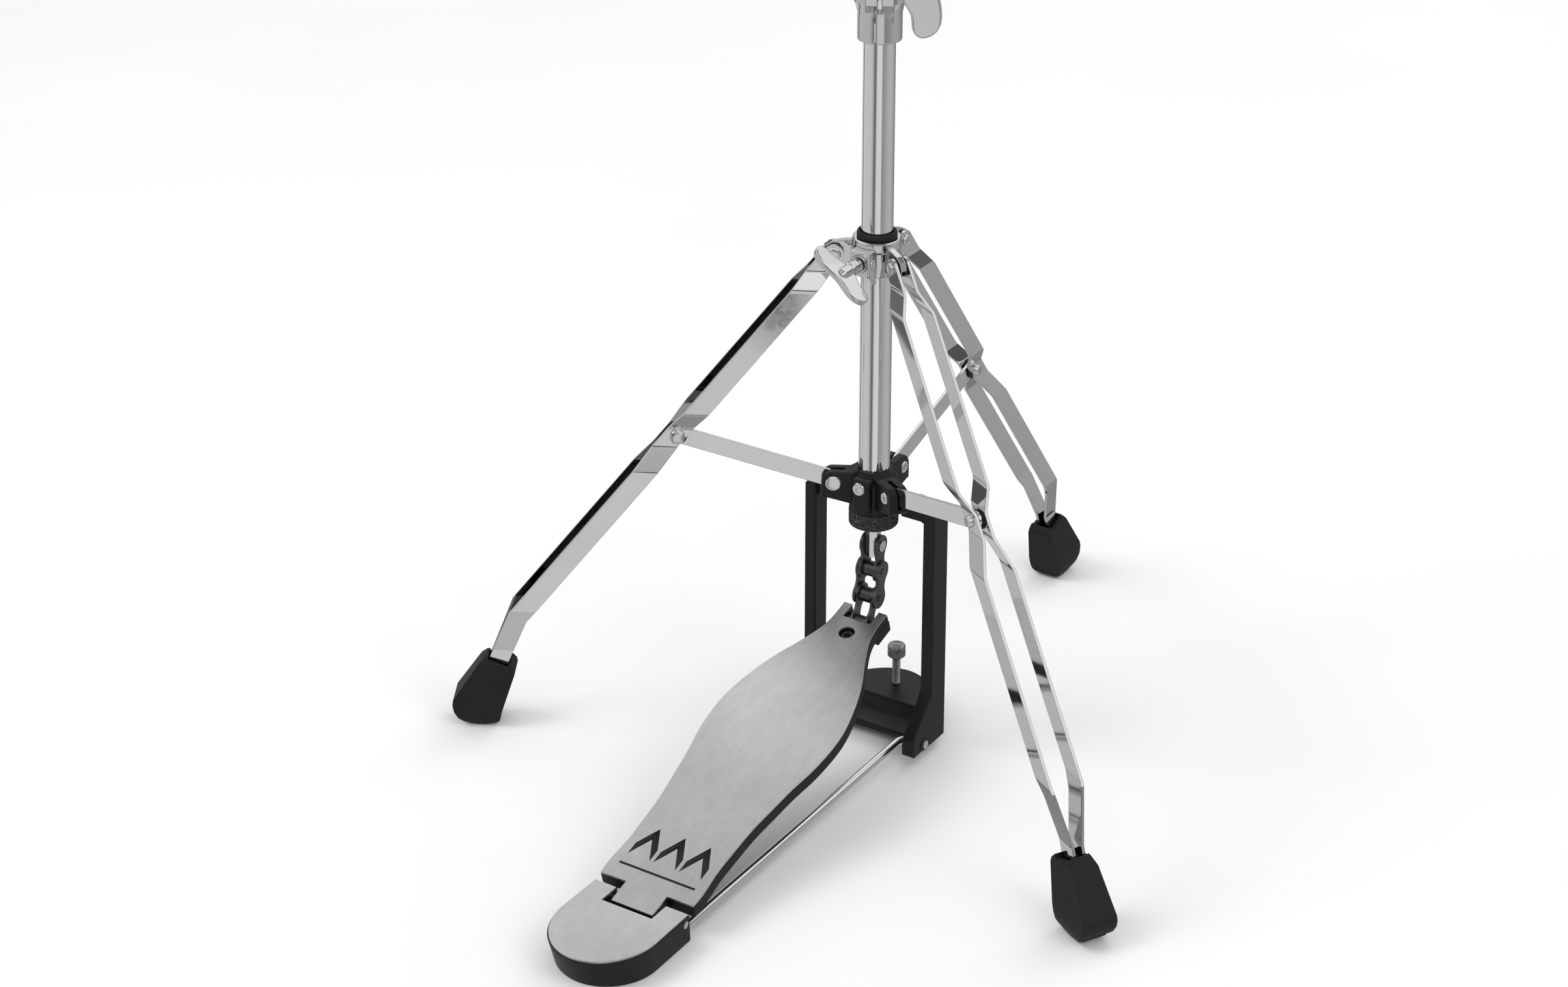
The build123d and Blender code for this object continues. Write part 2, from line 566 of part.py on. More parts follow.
def frame_side():
    """Right-hand post with its flare, ear and arm."""
    # post with a drafted inner face, wider in front, and a flare where it meets the base
    post = prism(Plane.XY, poly([(POST_FRONT_X, POST_Y0), (FRAME_X, POST_Y0),
                                 (FRAME_X, POST_Y1), (POST_REAR_X, POST_Y1)]),
                 FRAME_Z0, FRAME_Z1)
    post = soften(post, lambda edge: edge.length > 140, 1.4)
    post &= prism_xz(poly(POST_ENVELOPE), -30, 30)
    post += prism_xz(poly(FLARE_OUTLINE), POST_Y0 + 1.5, POST_Y1 - 1.0)
    # front ear that holds the radius rod
    ear = prism_yz(poly(EAR_OUTLINE), POST_FRONT_X, FRAME_X)
    ear = soften(ear, lambda edge: edge.length > 20 and edge.center().Y < -10, 1.0)
    # arm from the post to the hub, in front of the hub's rear wing
    arm = prism_xz(poly(ARM_OUTLINE), -3.8, WING_Y0)
    arm = soften(arm, lambda edge: edge.length > 12 and edge.center().Y < -3, 0.9)
    half_frame = post + ear + arm
    half_frame -= cyl((FRAME_X + 5, *ROD_EYE), LEFT, BUSH_R, 20)
    half_frame -= cyl((SIDE_BOLT_X, 0.2, SIDE_BOLT_Z), REAR, SIDE_BOLT_R, 20)
    return half_frame


def pedal_frame():
    frame = frame_base()
    half_frame = frame_side()
    frame += half_frame
    frame += mirror(half_frame, Plane.YZ)
    return frame - cyl((0, SPUR_Y, 0), UP, SPUR_R + FIT, 30)


put("pedal_frame", pedal_frame())
put("base_pad", prism(Plane.XY, poly(BASE_PAD_OUTLINE), 0, FRAME_Z0)
    - cyl((0, SPUR_Y, -1), UP, 3.8, 10))
# pointed screw with a round head
put("spur_screw", turned_z(SPUR_PROFILE, (0, SPUR_Y)))

# ---------------------------------------------------------------- radius rods and bushes
RADIUS_ROD_R = 2.9
RADIUS_TOE_X = 35.5
RADIUS_HEEL = (30.5, -304.0, 7.7)


def radius_rod_ends(side):
    """Bend at the toe and end at the heel, for side -1 left or +1 right."""
    x, y, z = RADIUS_HEEL
    return Vector(side * RADIUS_TOE_X, *ROD_EYE), Vector(side * x, y, z)


for side in (-1, 1):
    inwards = (-side, 0, 0)
    rod_start = Vector(side * (FRAME_X + 1.6), *ROD_EYE)
    rod_path = FilletPolyline(rod_start, *radius_rod_ends(side), radius=9.0)
    rod_section = Plane(origin=rod_start, z_dir=inwards) * Circle(RADIUS_ROD_R)
    put("radius_rods", sweep(rod_section, path=rod_path))
    put("rod_bushes", ring((side * (FRAME_X + 0.5), *ROD_EYE), inwards, BUSH_R, RADIUS_ROD_R,
                           7.6))

# ---------------------------------------------------------------- heel plate
HEEL_TOP = 21.7
COVER_Z0 = HEEL_TOP - PLATE_T
HEEL_PIN_HALF = 36.6


def heel_face(front_y, front_x, centre_y, radius_x, radius_y, z):
    """Half ellipse round the heel end, closed by a straight edge at front_y."""
    return Pos(0, 0, z) * outline(
        EllipticalCenterArc((0, centre_y), radius_x, radius_y, start_angle=180, arc_size=180),
        Line((radius_x, centre_y), (front_x, front_y)),
        Line((front_x, front_y), (-front_x, front_y)),
        Line((-front_x, front_y), (-radius_x, centre_y)))


def heel_notch():
    """Space for the footboard's tongue."""
    return box(-19.5, 19.5, -303.9, -270, 5.0, 40)


def heel_base():
    heel = loft([heel_face(-284.0, 35.5, -322.0, 35.5, 36.5, 0.0),
                 heel_face(-287.3, 36.9, -323.0, 37.2, 43.2, COVER_Z0)])
    heel = soften(heel, lambda edge: edge.center().Z < 0.01 and edge.length > 30, 0.8)
    heel -= heel_notch()
    heel -= cyl((-50, *HEEL_PIN), RIGHT, HEEL_PIN_R, 100)
    for side in (-1, 1):
        toe, end = radius_rod_ends(side)
        along = (end - toe).normalized()
        heel -= cyl(tuple(end + along * 0.3), tuple(along * -1), RADIUS_ROD_R, 40)
    return heel


def heel_cover():
    face = heel_face(-287.9, 36.2, -323.0, 36.5, 42.4, 0)
    cover = prism(Plane.XY, face, COVER_Z0, HEEL_TOP)
    cover -= heel_notch()
    return soften(cover, lambda edge: (abs(edge.center().Z - HEEL_TOP) < 0.01
                                       and edge.length > 30), 0.5)


put("heel_base", heel_base())
put("heel_cover", heel_cover())
put("heel_pin", cyl((-HEEL_PIN_HALF, *HEEL_PIN), RIGHT, HEEL_PIN_R, 2 * HEEL_PIN_HALF))

# ---------------------------------------------------------------- footboard
BOARD_ORIGIN = (-281.7, 24.1)  # y, z of the heel end of the top face
BOARD_SLOPE = math.radians(15.513)
BOARD_T = 9.8
TONGUE_T = 11.5
TONGUE_HALF = 16.0
TONGUE_START, TONGUE_END = -17.3, 6
CHAIN_SLOT_W = 22.0
SCREW_AT = 256.0               # toe screw, distance along the board
SCREW_R = 3.0
SCREW_SEAT_R = 5.8
SCREW_SEAT_Z = -6.0
# distance along the board from its heel end, half width
BOARD_OUTLINE = [
    (0, 36), (14, 36.5), (30, 35.3), (45, 35.5), (60, 36), (75, 37), (90, 39), (100, 40.3),
    (115, 42.5), (130, 45.5), (145, 47.3), (160, 48), (170, 47.5), (180, 46.0), (196, 42.3),
    (210, 38), (221, 33.6), (232, 28.5), (242, 24.2), (250, 21.0), (259, 18.6), (268, 17.6),
    (282.4, 17.5)]

# local x runs up the board from the heel, local z is normal to its top face
BOARD = Plane(origin=(0, *BOARD_ORIGIN), x_dir=(0, math.cos(BOARD_SLOPE), math.sin(BOARD_SLOPE)),
              z_dir=(0, -math.sin(BOARD_SLOPE), math.cos(BOARD_SLOPE)))


def board_face(grow):
    edge_points = [(x, y + grow) for x, y in BOARD_OUTLINE]
    mirrored = [(x, -y) for x, y in edge_points]
    return outline(Spline(*edge_points), Spline(*mirrored),
                   Line(edge_points[-1], mirrored[-1]), Line(edge_points[0], mirrored[0]))


def board_tongue():
    middle = Pos((TONGUE_START + TONGUE_END) / 2, 0)
    return middle * Rectangle(TONGUE_END - TONGUE_START, 2 * TONGUE_HALF)


def board_hole(z0, radius, height):
    """Hole for the toe screw, normal to the board and upwards from z0."""
    return BOARD * (Pos(SCREW_AT, 0, z0) * Cylinder(radius, height, align=FROM_BASE))


def footboard_plate():
    chain_slot = Pos(279.6, 0) * Rectangle(20.0, CHAIN_SLOT_W)
    plate = prism(BOARD, board_face(0.0) + board_tongue() - chain_slot, -PLATE_T, 0)
    plate -= board_hole(-PLATE_T - 1, SCREW_SEAT_R, 10)
    return soften(plate, lambda edge: edge.length > 250, 0.4)


def footboard_base():
    base = prism(BOARD, board_face(0.3), -BOARD_T, -PLATE_T)
    base = soften(base, lambda edge: (
        edge.length > 250 and BOARD.to_local_coords(edge.center()).Z < -BOARD_T + 0.5), 1.2)
    # deeper block under the toe, then the heel tongue
    base += BOARD * (Pos(266.0 + 8.55, 0, -14.2) * extrude(Rectangle(17.1, 2 * 18.0), 8.0))
    base += prism(BOARD, board_tongue(), -TONGUE_T, -PLATE_T)
    # chain slot through the toe
    base -= BOARD * (Pos(278.3, 0, -30) * extrude(Rectangle(23.2, CHAIN_SLOT_W), 60))
    base -= board_hole(SCREW_SEAT_Z, SCREW_SEAT_R, 20)
    base -= board_hole(-20.0, SCREW_R, 40)
    base -= cyl((-60, *HEEL_PIN), RIGHT, HEEL_PIN_R + FIT, 120)
    # oversize pockets for the toe pin
    base -= cyl((-15.6, *CHAIN[3]), RIGHT, 3.9, 31.2)
    return base


def footboard_screw():
    screw = BOARD * (Pos(SCREW_AT, 0, 0) * turned_z([
        (0, -9.4), (SCREW_R, -9.4), (SCREW_R, SCREW_SEAT_Z), (5.0, SCREW_SEAT_Z), (5.0, -3.2),
        (4.4, -2.7), (0, -2.7)]))
    return screw - BOARD * (Pos(SCREW_AT, 0, -5.2) * extrude(RegularPolygon(2.6, 6), 6))


put("footboard_plate", footboard_plate())
put("footboard_base", footboard_base())
put("footboard_screw", footboard_screw())

# ---------------------------------------------------------------- chain
INNER_PLATE = (4.8, 6.8)       # x of the plate's two faces
OUTER_PLATE = (7.0, 9.0)
LINK_R = 7.7
WAIST_R = 10.0
CHAIN_PIN_R = 2.3
BUSH_BORE_R, BUSH_OUTER_R = 2.37, 3.2
ROLLER_BORE_R, ROLLER_R = 3.27, 5.4
ROLLER_HALF = 4.7
BUSH_HALF = INNER_PLATE[1] + 0.1


def across(joint, radius, half):
    """Cylinder along X through a chain joint, symmetric about x = 0."""
    return cyl((-half, *CHAIN[joint]), RIGHT, radius, 2 * half)


def link_sketch(pitch, start_r, end_r):
    """Two round ends joined by a waist."""
    small_r = min(start_r, end_r)
    reach = small_r + WAIST_R
    height = math.sqrt(reach ** 2 - (pitch / 2) ** 2)
    touch_x, touch_y = small_r * (pitch / 2) / reach, small_r * height / reach
    sketch = Circle(start_r) + Pos(pitch, 0) * Circle(end_r) + (
        Pos(pitch / 2, 0) * Rectangle(pitch - 2 * touch_x, 2 * touch_y))
    sketch -= Pos(pitch / 2, height) * Circle(WAIST_R)
    sketch -= Pos(pitch / 2, -height) * Circle(WAIST_R)
    return sketch


def link_plates(joint, faces, start_r, end_r):
    """Left and right plates from one joint down to the next."""
    (y0, z0), (y1, z1) = CHAIN[joint], CHAIN[joint + 1]
    inner, outer = faces
    sketch = link_sketch(math.hypot(y1 - y0, z1 - z0), start_r, end_r)
    return [Plane(origin=(x, y0, z0), x_dir=(0, y1 - y0, z1 - z0), z_dir=RIGHT)
            * extrude(sketch, outer - inner) for x in (-outer, inner)]


def roller(joint, outer_r=ROLLER_R, bore_r=ROLLER_BORE_R):
    return across(joint, outer_r, ROLLER_HALF) - across(joint, bore_r, 10)


def chain_link_top():
    """Inner plates pinned to the connector above, with a bush below."""
    left, right = [plate - across(0, TOP_PIN_R + FIT, 20)
                   for plate in link_plates(0, INNER_PLATE, LINK_R, LINK_R)]
    link = left + right
    link += across(1, BUSH_OUTER_R, BUSH_HALF)
    return link - across(1, BUSH_BORE_R, 20)


def chain_link_middle():
    """Outer plates with riveted pins."""
    left, right = link_plates(1, OUTER_PLATE, LINK_R, LINK_R)
    link = left + right
    for joint in (1, 2):
        link += across(joint, CHAIN_PIN_R, 9.8)
    return link


def chain_link_bottom():
    """Inner plates with a bush above and the toe pin's hole below."""
    left, right = link_plates(2, INNER_PLATE, LINK_R, 6.3)
    link = left + right
    link += across(2, BUSH_OUTER_R, BUSH_HALF)
    link -= across(2, BUSH_BORE_R, 20)
    return link - across(3, TOE_PIN_R, 20)


def chain_top_pin():
    plate_x = INNER_PLATE[1]
    pin = across(0, TOP_PIN_R, plate_x + 0.25)
    for side in (-1, 1):
        outwards = (side, 0, 0)
        pin += cyl((side * (plate_x + 0.15), *CHAIN[0]), outwards, 3.9, 1.0)
        pin -= cyl((side * (plate_x + 0.35), *CHAIN[0]), outwards, 2.0, 4.0)
    return pin


put("chain_link_top", chain_link_top(), roller(1))
put("chain_link_middle", chain_link_middle())
put("chain_link_bottom", chain_link_bottom(), roller(2), roller(3, 4.3, TOE_PIN_R))
put("toe_pin", across(3, TOE_PIN_R, 15.0))
put("chain_top_pin", chain_top_pin())

# ---------------------------------------------------------------- height clamp
CLAMP_Z0, CLAMP_Z1 = 521.0, 586.0
CLAMP_AZIMUTH = -60.0
CLAMP_BOLT_X, CLAMP_BOLT_Z = 25.5, 564.5
CLAMP_BOLT_R = 3.0
# radius, z
CLAMP_PROFILE = [
    (0, CLAMP_Z0), (15.0, CLAMP_Z0), (15.3, CLAMP_Z0 + 1), (15.3, 540), (16.4, 545),
    (18.4, 549), (18.8, 552), (18.8, 582), (18.0, 585), (17.0, CLAMP_Z1), (0, CLAMP_Z1)]
CLAMP_SLEEVE_PROFILE = [
    (UPPER_TUBE_R + FIT, 556.4), (12.55, 556.4), (12.55, CLAMP_Z1), (14.4, CLAMP_Z1),
    (14.4, CLAMP_Z1 + 2.4), (UPPER_TUBE_R + FIT, CLAMP_Z1 + 2.4)]
# x, z
CLAMP_EAR = [(10, 545), (26, 547), (33, 554), (33, 574), (27, 580), (10, 582)]


def height_clamp():
    clamp = turned_z(CLAMP_PROFILE)
    clamp += prism_xz(poly(CLAMP_EAR), -9.5, 9.5)
    clamp -= cyl((0, 0, 500), UP, LOWER_TUBE_R, 56.0)
    clamp -= cyl((0, 0, 550), UP, 12.6, 60.0)
    # slit between the ears and the bolt hole across them
    clamp -= box(0, 60, -1.6, 1.6, 543, 600)
    clamp -= cyl((CLAMP_BOLT_X, -30, CLAMP_BOLT_Z), REAR, CLAMP_BOLT_R + FIT, 60)
    clamp = spin(CLAMP_AZIMUTH, clamp)
    # narrow slit in the lower skirt
    return clamp - spin(-72, box(5, 40, -0.8, 0.8, 510, 536))


def clamp_wing_bolt():
    bolt = wing_blade((CLAMP_BOLT_X, -22.0, CLAMP_BOLT_Z), (0.16, 0, 0.987), 1.45, 6.0)
    bolt += turned((CLAMP_BOLT_X, 17.0, CLAMP_BOLT_Z), FRONT, [
        (0, 0), (5.4, 0), (5.4, 5.0), (CLAMP_BOLT_R, 5.0), (CLAMP_BOLT_R, 27.0), (6.4, 27.0),
        (6.4, 37.0), (5.0, 46.0), (4.0, 50.0), (0, 50.6)])
    return spin(CLAMP_AZIMUTH, mirror(bolt, Plane.XZ))


put("height_clamp", height_clamp())
put("clamp_sleeve", turned_z(CLAMP_SLEEVE_PROFILE))
put("clamp_wing_bolt", clamp_wing_bolt())

# ---------------------------------------------------------------- lower cymbal seat
SEAT_Z0, SEAT_Z1 = 726, 752.0
SEAT_BORE_R = 5.4
TILTER_X = 18.6
TILTER_R = 2.0
# radius, z
SEAT_CUP_PROFILE = [
    (UPPER_TUBE_R, SEAT_Z0), (13.0, SEAT_Z0), (13.0, 742), (15.0, 746), (24.0, 748.0),
    (24.6, 749.4), (24.6, 751.0), (24.0, SEAT_Z1), (SEAT_BORE_R, SEAT_Z1),
    (SEAT_BORE_R, UPPER_TUBE_Z1), (UPPER_TUBE_R, UPPER_TUBE_Z1)]
SEAT_FELT_PROFILE = [
    (SEAT_BORE_R, SEAT_Z1), (20.0, SEAT_Z1), (21.0, 753.2), (21.0, 763.0), (19.6, 764.6),
    (6.4, 764.6), (SEAT_BORE_R, 763.8)]
TILTER_PROFILE = [
    (0, 726.5), (4.6, 726.5), (5.0, 727.0), (5.0, 733.0), (4.4, 733.6), (TILTER_R, 733.6),
    (TILTER_R, 751.6), (0, 751.6)]

put("seat_cup", turned_z(SEAT_CUP_PROFILE) - cyl((TILTER_X, 0, 735), UP, TILTER_R + FIT, 30))
put("seat_felt", turned_z(SEAT_FELT_PROFILE))
put("tilter_screw", turned_z(TILTER_PROFILE, (TILTER_X, 0)))

# ---------------------------------------------------------------- clutch
CLUTCH_Z = 850.0
CLUTCH_R = 6.3
CLUTCH_SCREW_Z = CLUTCH_Z + 56
CLUTCH_SCREW_R = 2.5
FELT_R, FELT_BORE_R, FELT_T = 16.0, 6.35, 9.0
FELT_HEIGHTS = (12.0, 22.0)    # above the clutch's lower end
# radius, height above the clutch's lower end
CLUTCH_PROFILE = [
    (ROD_R + FIT, 0), (5.9, 0), (CLUTCH_R, 1), (CLUTCH_R, 44), (9.5, 46), (10.0, 47),
    (10.0, 63), (9.0, 65), (ROD_R + FIT, 65)]
FELT_PROFILE = [
    (FELT_BORE_R, 0), (FELT_R - 0.8, 0), (FELT_R, 1.2), (FELT_R, FELT_T - 1.2),
    (FELT_R - 0.8, FELT_T), (FELT_BORE_R, FELT_T)]
ROUND_NUT_PROFILE = [
    (CLUTCH_R, 4.6), (11.5, 4.6), (12.2, 5.3), (12.2, 10.9), (11.5, 11.6), (CLUTCH_R, 11.6)]


def raised(points, height):
    return [(radius, z + height) for radius, z in points]


def clutch_body():
    body = turned_z(raised(CLUTCH_PROFILE, CLUTCH_Z))
    body += cyl((0, -8, CLUTCH_SCREW_Z), FRONT, 5.0, 7)
    body -= cyl((0, -40, CLUTCH_SCREW_Z), REAR, CLUTCH_SCREW_R + FIT, 38)
    return body - cyl((0, 0, CLUTCH_Z - 5), UP, ROD_R + FIT, 90)


def clutch_wing_screw():
    screw = wing_blade((0, -25.0, CLUTCH_SCREW_Z), (0.94, 0, 0.34), 0.72, 4.0)
    return screw + turned((0, -3.2, CLUTCH_SCREW_Z), FRONT, [
        (0, 0), (CLUTCH_SCREW_R, 0), (CLUTCH_SCREW_R, 13.0), (4.2, 13.0), (4.2, 24.0),
        (3.2, 28.0), (0, 29.0)])


put("clutch_body", clutch_body())
for height in FELT_HEIGHTS:
    put("clutch_felts", turned_z(raised(FELT_PROFILE, CLUTCH_Z + height)))
hex_nut = extrude(RegularPolygon(10.0, 6, major_radius=False), 6.0) - Cylinder(CLUTCH_R, 40)
put("clutch_nuts", Pos(0, 0, CLUTCH_Z + 32.4) * hex_nut)
put("clutch_nuts", turned_z(raised(ROUND_NUT_PROFILE, CLUTCH_Z)))
put("clutch_wing_screw", clutch_wing_screw())

for name, solids in NODES.items():
    shape = Compound(solids) if len(solids) > 1 else solids[0]
    export_step(shape, "parts/%s.step" % name)
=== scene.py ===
import bpy
import bmesh
import json
import math
from mathutils import Matrix, Vector, noise

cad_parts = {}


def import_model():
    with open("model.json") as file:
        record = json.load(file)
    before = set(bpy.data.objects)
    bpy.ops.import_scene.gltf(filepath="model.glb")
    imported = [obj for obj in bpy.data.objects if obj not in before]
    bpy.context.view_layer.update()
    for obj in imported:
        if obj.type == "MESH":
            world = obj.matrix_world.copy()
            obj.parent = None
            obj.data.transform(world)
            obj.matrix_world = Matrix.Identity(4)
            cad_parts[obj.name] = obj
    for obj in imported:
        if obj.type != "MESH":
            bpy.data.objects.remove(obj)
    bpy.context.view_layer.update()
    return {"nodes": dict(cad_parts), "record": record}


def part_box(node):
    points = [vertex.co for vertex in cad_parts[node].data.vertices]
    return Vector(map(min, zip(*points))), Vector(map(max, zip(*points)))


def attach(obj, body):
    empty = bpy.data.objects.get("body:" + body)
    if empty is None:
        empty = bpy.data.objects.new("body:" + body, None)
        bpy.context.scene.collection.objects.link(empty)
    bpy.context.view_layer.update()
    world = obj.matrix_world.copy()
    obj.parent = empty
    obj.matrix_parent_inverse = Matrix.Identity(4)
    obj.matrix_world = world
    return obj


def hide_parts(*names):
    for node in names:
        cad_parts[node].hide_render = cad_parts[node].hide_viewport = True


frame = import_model()
N = frame["nodes"]
scene = bpy.context.scene
MM = 0.001


# ------------------------------------------------------------------ node helpers
class Mat:
    """A procedural material: a Principled shader with helpers that keep the node code short."""

    def __init__(self, name):
        self.m = bpy.data.materials.new(name)
        self.m.use_nodes = True
        self.t = self.m.node_tree
        self.n = self.t.nodes
        self.b = self.n["Principled BSDF"]
        self.coord = self.n.new("ShaderNodeTexCoord")

    def link(self, a, b):
        self.t.links.new(a, b)

    def set(self, **kw):
        for k, v in kw.items():
            self.b.inputs[k.replace("_", " ")].default_value = v
        return self

    def mapping(self, scale=(1, 1, 1), rot=(0, 0, 0), src=None):
        mp = self.n.new("ShaderNodeMapping")
        mp.inputs["Scale"].default_value = scale
        mp.inputs["Rotation"].default_value = rot
        self.link(src or self.coord.outputs["Object"], mp.inputs["Vector"])
        return mp.outputs["Vector"]

    def noise(self, scale, detail=4, rough=0.55, vec=None, distort=0.0):
        t = self.n.new("ShaderNodeTexNoise")
        t.inputs["Scale"].default_value = scale
        t.inputs["Detail"].default_value = detail
        t.inputs["Roughness"].default_value = rough
        t.inputs["Distortion"].default_value = distort
        self.link(vec or self.coord.outputs["Object"], t.inputs["Vector"])
        return t.outputs["Fac"]

    def voronoi(self, scale, vec=None, feature="F1"):
        t = self.n.new("ShaderNodeTexVoronoi")
        t.feature = feature
        t.inputs["Scale"].default_value = scale
        self.link(vec or self.coord.outputs["Object"], t.inputs["Vector"])
        return t.outputs["Distance"]

    def remap(self, src, lo, hi, a=0.0, b=1.0):
        r = self.n.new("ShaderNodeMapRange")
        r.inputs["From Min"].default_value = a
        r.inputs["From Max"].default_value = b
        r.inputs["To Min"].default_value = lo
        r.inputs["To Max"].default_value = hi
        self.link(src, r.inputs["Value"])
        return r.outputs["Result"]

    def ramp(self, src, stops, mode="LINEAR"):
        r = self.n.new("ShaderNodeValToRGB")
        r.color_ramp.interpolation = mode
        e = r.color_ramp.elements
        while len(e) > 1:
            e.remove(e[-1])
        e[0].position, c = stops[0]
        e[0].color = (*c, 1) if len(c) == 3 else c
        for p, c in stops[1:]:
            x = e.new(p)
            x.color = (*c, 1) if len(c) == 3 else c
        self.link(src, r.inputs["Fac"])
        return r.outputs["Color"]

    def mix(self, fac, a, b):
        m = self.n.new("ShaderNodeMix")
        m.data_type = "RGBA"
        for s, v in ((6, a), (7, b)):
            if hasattr(v, "links"):
                self.link(v, m.inputs[s])
            else:
                m.inputs[s].default_value = (*v, 1)
        if hasattr(fac, "links"):
            self.link(fac, m.inputs[0])
        else:
            m.inputs[0].default_value = fac
        return m.outputs[2]

    def math(self, op, a, b=None):
        m = self.n.new("ShaderNodeMath")
        m.operation = op
        for i, v in enumerate((a, b)):
            if v is None:
                continue
            if hasattr(v, "links"):
                self.link(v, m.inputs[i])
            else:
                m.inputs[i].default_value = v
        return m.outputs[0]

    def bump(self, height, strength, distance=0.001, edge=0.0004):
        """Bump on top of a softened edge normal."""
        bv = self.n.new("ShaderNodeBevel")
        bv.samples = 6
        bv.inputs["Radius"].default_value = edge
        bp = self.n.new("ShaderNodeBump")
        bp.inputs["Strength"].default_value = strength
        bp.inputs["Distance"].default_value = distance
        self.link(bv.outputs["Normal"], bp.inputs["Normal"])
        self.link(height, bp.inputs["Height"])
        self.link(bp.outputs["Normal"], self.b.inputs["Normal"])

    def color(self, src):
        self.link(src, self.b.inputs["Base Color"])

    def rough(self, src):
        self.link(src, self.b.inputs["Roughness"])


def chrome(name, tint, r0, r1, wav_scale, wav, edge, leg_az=None, rim=0.0, painted_rim_tone=0.10):
    k = Mat(name)
    k.set(Metallic=1.0, Base_Color=(*tint, 1))
    big = k.noise(18, 3, 0.5)
    fine = k.noise(260, 5, 0.6)
    tone = k.mix(k.remap(big, 0.0, 1.0, 0.35, 0.65), tuple(c * 0.965 for c in tint), tint)
    if leg_az is not None:
        # painted shade: the faces of the two strips that look at each other get a dark base colour, standing in for the
        # shade and dark reflections in the narrow gap between them
        geo = k.n.new("ShaderNodeNewGeometry")
        t = (-math.sin(math.radians(leg_az)), math.cos(math.radians(leg_az)), 0)
        dots = []
        for src in ("Position", "True Normal"):
            d = k.n.new("ShaderNodeVectorMath")
            d.operation = "DOT_PRODUCT"
            k.link(geo.outputs[src], d.inputs[0])
            d.inputs[1].default_value = t
            dots.append(d.outputs["Value"])
        side = k.math("MULTIPLY", k.math("SIGN", dots[0]), dots[1])
        tone = k.mix(k.remap(side, 1.0, 0.0, -0.9, -0.4), tone, (0.22, 0.22, 0.225))
    if rim:
        # painted dark reflection: the base colour is darkened along the rounded corners, standing in for corners that
        # turn away to the dark parts of the room and read as thin dark outlines
        g2 = k.n.new("ShaderNodeNewGeometry")
        bv = k.n.new("ShaderNodeBevel")
        bv.samples = 6
        bv.inputs["Radius"].default_value = rim
        d2 = k.n.new("ShaderNodeVectorMath")
        d2.operation = "DOT_PRODUCT"
        k.link(bv.outputs["Normal"], d2.inputs[0])
        k.link(g2.outputs["True Normal"], d2.inputs[1])
        tone = k.mix(k.remap(d2.outputs["Value"], 1.0, 0.0, 0.80, 0.985), tone, (painted_rim_tone, painted_rim_tone, painted_rim_tone * 1.02))
    k.color(tone)
    k.rough(k.math("ADD", k.remap(big, r0, r1, 0.3, 0.7), k.remap(fine, 0.0, 0.02, 0.4, 0.75)))
    wave = k.noise(wav_scale, 2, 0.4)
    k.bump(wave, wav, 0.001, edge)
    return k.m


def satin_black(name, base, hi, r0, r1, grain, strength, edge, sheen=0.5):
    k = Mat(name)
    k.set(Metallic=0.0, IOR=1.46)
    cloud = k.noise(9, 4, 0.55)
    fine = k.noise(grain, 3, 0.6)
    dust = k.noise(1400, 2, 0.5)
    k.color(k.mix(k.remap(cloud, 0.0, 1.0, 0.35, 0.7), base, hi))
    k.rough(k.math("ADD", k.remap(cloud, r0, r1, 0.3, 0.7), k.remap(dust, -0.03, 0.05, 0.35, 0.65)))
    k.bump(fine, strength, 0.0006, edge)
    k.b.inputs["Specular IOR Level"].default_value = sheen
    return k.m


M = {}
M["chrome_tube"] = chrome("chrome_tube", (0.93, 0.935, 0.94), 0.03, 0.055, 26, 0.010, 0.0002)
M["chrome_strip"] = chrome("chrome_strip", (0.80, 0.805, 0.81), 0.035, 0.065, 34, 0.035, 0.0005, None, 0.0005, 0.20)
for leg, az in (("left", 210), ("right", 330), ("rear", 90)):
    # painted shade: the right leg is a darker copy of the same chrome tint as the other legs
    M["leg_" + leg] = chrome("chrome_leg_" + leg, (0.70, 0.705, 0.71) if leg == "right" else (0.80, 0.805, 0.81), 0.035, 0.065, 34, 0.035, 0.0005, az if leg == "left" else None, 0.0005, 0.20)
M["chrome_cast"] = chrome("chrome_cast", (0.74, 0.745, 0.75), 0.035, 0.065, 90, 0.13, 0.0008, None, 0.0011, 0.10)
M["bright_steel"] = chrome("bright_steel", (0.80, 0.80, 0.80), 0.12, 0.20, 240, 0.05, 0.0003)
M["spring_steel"] = chrome("spring_steel", (0.40, 0.40, 0.41), 0.22, 0.32, 300, 0.05, 0.0001)
M["black_casting"] = satin_black("black_casting", (0.0065, 0.0065, 0.0070), (0.0105, 0.0105, 0.0110), 0.40, 0.50, 900, 0.10, 0.0007, 0.34)
M["black_plastic"] = satin_black("black_plastic", (0.0060, 0.0060, 0.0064), (0.0100, 0.0100, 0.0105), 0.36, 0.46, 700, 0.10, 0.0009, 0.36)
M["black_rubber"] = satin_black("black_rubber", (0.0095, 0.0095, 0.0100), (0.0160, 0.0160, 0.0165), 0.52, 0.62, 520, 0.22, 0.0010, 0.30)
M["black_nylon"] = satin_black("black_nylon", (0.0070, 0.0070, 0.0070), (0.0120, 0.0120, 0.0120), 0.34, 0.42, 600, 0.06, 0.0003, 0.4)


def chain_steel():
    k = Mat("chain_steel")
    k.set(Metallic=0.92)
    a = k.noise(70, 5, 0.6)
    b = k.noise(600, 4, 0.6)
    base = k.mix(k.remap(a, 0.0, 1.0, 0.35, 0.68), (0.070, 0.069, 0.067), (0.155, 0.152, 0.146))
    k.color(base)
    k.rough(k.math("ADD", k.remap(a, 0.27, 0.42, 0.3, 0.7), k.remap(b, -0.05, 0.06, 0.35, 0.65)))
    k.bump(b, 0.16, 0.0004, 0.0004)
    return k.m


